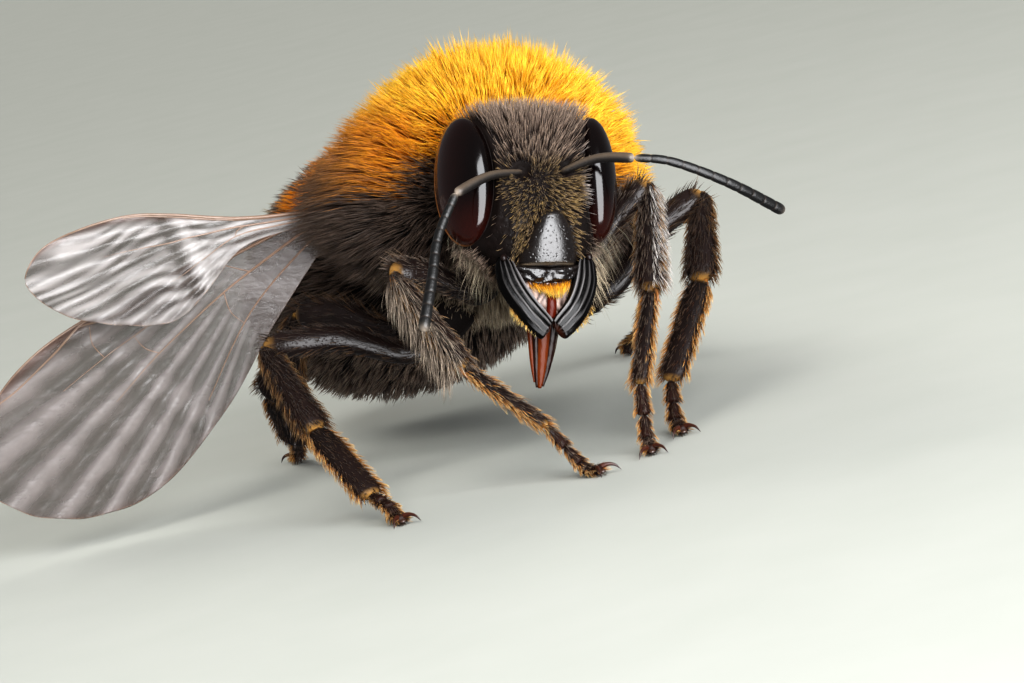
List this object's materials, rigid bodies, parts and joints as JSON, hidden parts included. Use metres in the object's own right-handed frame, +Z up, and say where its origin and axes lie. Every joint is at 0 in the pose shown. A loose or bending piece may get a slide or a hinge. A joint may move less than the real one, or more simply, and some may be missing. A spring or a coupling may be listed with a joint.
{
  "type": "bumblebee",
  "caption": "Still life-size model of a standing bumblebee queen, head raised, right wings spread and left wings folded over the abdomen.",
  "frame": {"origin": "middle of the model's bounding box in plan, on the floor that the six feet stand on", "axes": "+Z up from the floor, -Y the way the bee faces, +X to the bee's left"},
  "size_m": [0.0208, 0.023, 0.011],
  "materials": {
    "gold_coat": "dense soft upright hair, golden yellow, deeper orange at the edges",
    "rust_coat": "soft hair, rust orange",
    "dark_coat": "brown-black cuticle under dark hair with golden fringes",
    "cream_coat": "soft pale hair, cream to olive",
    "face": "black cuticle under short grey-brown and golden hair, bare and glossy on the clypeus",
    "eye": "smooth glossy near-black compound eye with fine facets and a brown rim",
    "horn": "glossy brown-black cuticle of feelers, mandibles and feet",
    "amber": "glossy translucent orange-brown sheath",
    "wing": "thin ribbed translucent membrane, greyish brown with a lilac tint"
  },
  "bodies": {
    "root": {"abdomen_1": "rust_coat", "abdomen_2": "gold_coat", "abdomen_3": "dark_coat", "abdomen_4": "dark_coat", "abdomen_5": "cream_coat", "abdomen_6": "rust_coat", "antenna_left_flagellum": "horn", "antenna_left_scape": "horn", "antenna_right_flagellum": "horn", "antenna_right_scape": "horn", "eye_left": "eye", "eye_right": "eye", "forewing_left": "wing", "forewing_right": "wing", "front_left_basitarsus": "dark_coat", "front_left_femur": "dark_coat", "front_left_tarsus": "horn", "front_left_tibia": "dark_coat", "front_right_basitarsus": "dark_coat", "front_right_femur": "dark_coat", "front_right_tarsus": "horn", "front_right_tibia": "dark_coat", "head": "face", "hind_left_basitarsus": "dark_coat", "hind_left_femur": "dark_coat", "hind_left_tarsus": "horn", "hind_left_tibia": "dark_coat", "hind_right_basitarsus": "dark_coat", "hind_right_femur": "dark_coat", "hind_right_tarsus": "horn", "hind_right_tibia": "dark_coat", "hindwing_left": "wing", "hindwing_right": "wing", "mandible_left": "horn", "mandible_right": "horn", "middle_left_basitarsus": "dark_coat", "middle_left_femur": "dark_coat", "middle_left_tarsus": "horn", "middle_left_tibia": "dark_coat", "middle_right_basitarsus": "dark_coat", "middle_right_femur": "dark_coat", "middle_right_tarsus": "horn", "middle_right_tibia": "dark_coat", "proboscis": "amber", "thorax": "gold_coat"}
  },
  "joints": []
}
